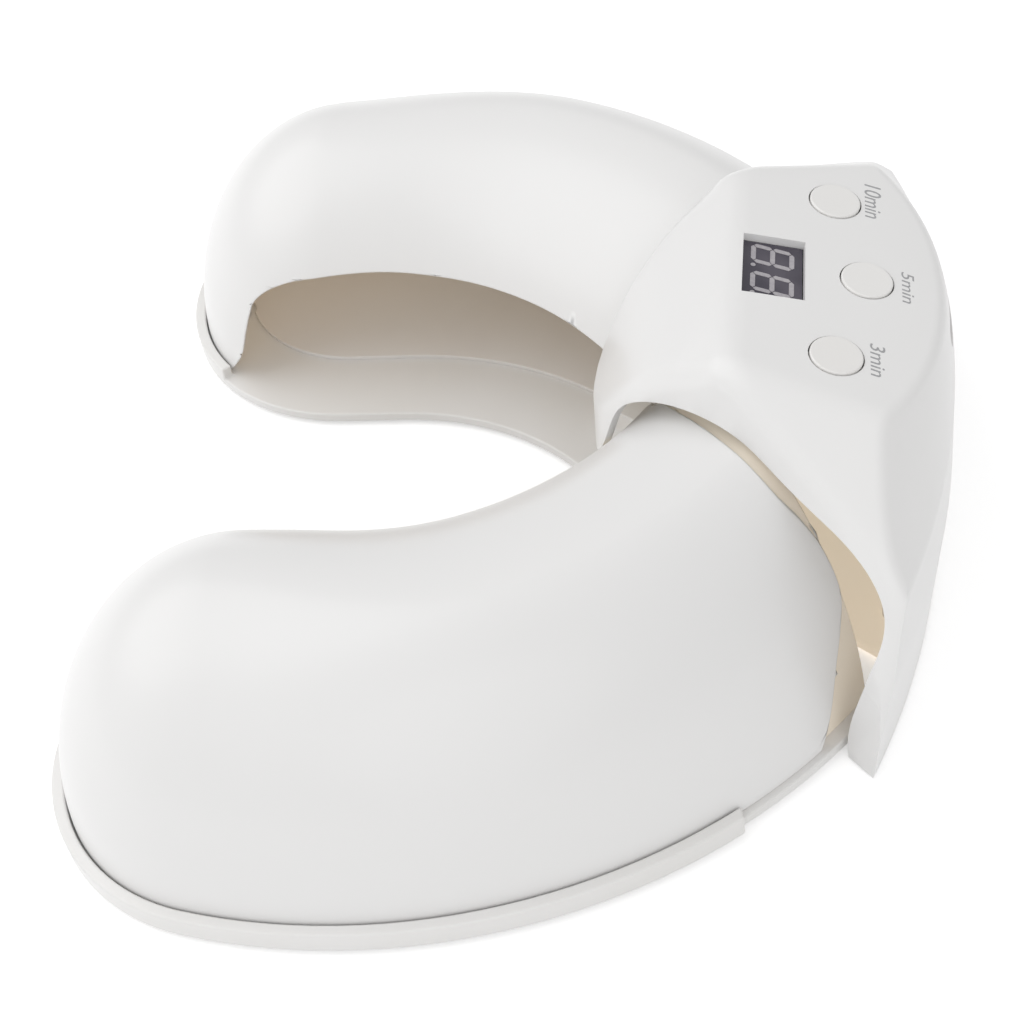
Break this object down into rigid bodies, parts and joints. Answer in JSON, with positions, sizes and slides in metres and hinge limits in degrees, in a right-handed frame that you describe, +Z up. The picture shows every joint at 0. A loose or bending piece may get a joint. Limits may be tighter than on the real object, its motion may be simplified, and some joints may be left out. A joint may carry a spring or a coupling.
{
  "type": "led nail lamp",
  "caption": "White C-shaped nail lamp with hollow domed arms that swing on a central hub with timer buttons, a small display and a charging inlet.",
  "frame": {"origin": "centre of the footprint, on the table", "axes": "+Z up, +X from the mouth of the C to the back of the hub, the two arms mirrored about y = 0"},
  "size_m": [0.2111, 0.268, 0.0798],
  "materials": {
    "white_shell": "satin white moulded plastic",
    "inner_plastic": "plain white moulded plastic",
    "board": "green solder mask",
    "display": "dark smoked face",
    "segment": "grey unlit bars",
    "chip": "black epoxy",
    "socket": "drawn steel",
    "connector": "natural nylon",
    "steel": "zinc plated steel",
    "rubber": "soft rubber",
    "post": "turned steel",
    "white_tray": "satin white moulded plastic",
    "panel": "fine matt white",
    "brass": "plain brass bush",
    "white_board": "white solder mask",
    "lamp": "lamp packages with yellow fill",
    "white_button": "satin white moulded plastic"
  },
  "bodies": {
    "hub": {"hub_cover": "white_shell", "hub_base": "inner_plastic", "control_board": "board", "display_module": "display", "display_segments": "segment", "tact_switches": "chip", "charging_socket": "socket", "controller_chip": "chip", "arm_connectors": "connector", "board_screws": "steel", "cover_screws": "steel", "hub_feet": "rubber", "far_hinge_post": "post", "near_hinge_post": "post", "post_screws": "steel", "hinge_washers": "steel", "hinge_screws": "steel"},
    "far_arm": {"far_arm_shell": "white_shell", "far_arm_base": "white_tray", "far_floor_panel": "panel", "far_hinge_bush": "brass", "far_lamp_board": "white_board", "far_lamps": "lamp", "far_lamp_board_screws": "steel", "far_tray_screws": "steel", "far_arm_feet": "rubber"},
    "near_arm": {"near_arm_shell": "white_shell", "near_arm_base": "white_tray", "near_floor_panel": "panel", "near_hinge_bush": "brass", "near_lamp_board": "white_board", "near_lamps": "lamp", "near_lamp_board_screws": "steel", "near_tray_screws": "steel", "near_arm_feet": "rubber"},
    "button_10_cap": {"button_10": "white_button"},
    "button_5_cap": {"button_5": "white_button"},
    "button_3_cap": {"button_3": "white_button"}
  },
  "joints": [
    {"name": "far_arm_swing", "type": "hinge", "parent": "hub", "child": "far_arm", "pos_m": [0.036, 0.013, 0], "axis": [0, 0, -1], "range_deg": [-5, 3]},
    {"name": "near_arm_swing", "type": "hinge", "parent": "hub", "child": "near_arm", "pos_m": [0.036, -0.013, 0], "axis": [0, 0, 1], "range_deg": [-5, 3]},
    {"name": "button_10_press", "type": "slide", "parent": "hub", "child": "button_10_cap", "axis": [-0.2425, 0, -0.9701], "range_m": [0, 0.0006], "stiffness_N_per_m": 1200, "springref_m": -0.0002},
    {"name": "button_5_press", "type": "slide", "parent": "hub", "child": "button_5_cap", "axis": [-0.2425, 0, -0.9701], "range_m": [0, 0.0006], "stiffness_N_per_m": 1200, "springref_m": -0.0002},
    {"name": "button_3_press", "type": "slide", "parent": "hub", "child": "button_3_cap", "axis": [-0.2425, 0, -0.9701], "range_m": [0, 0.0006], "stiffness_N_per_m": 1200, "springref_m": -0.0002}
  ]
}
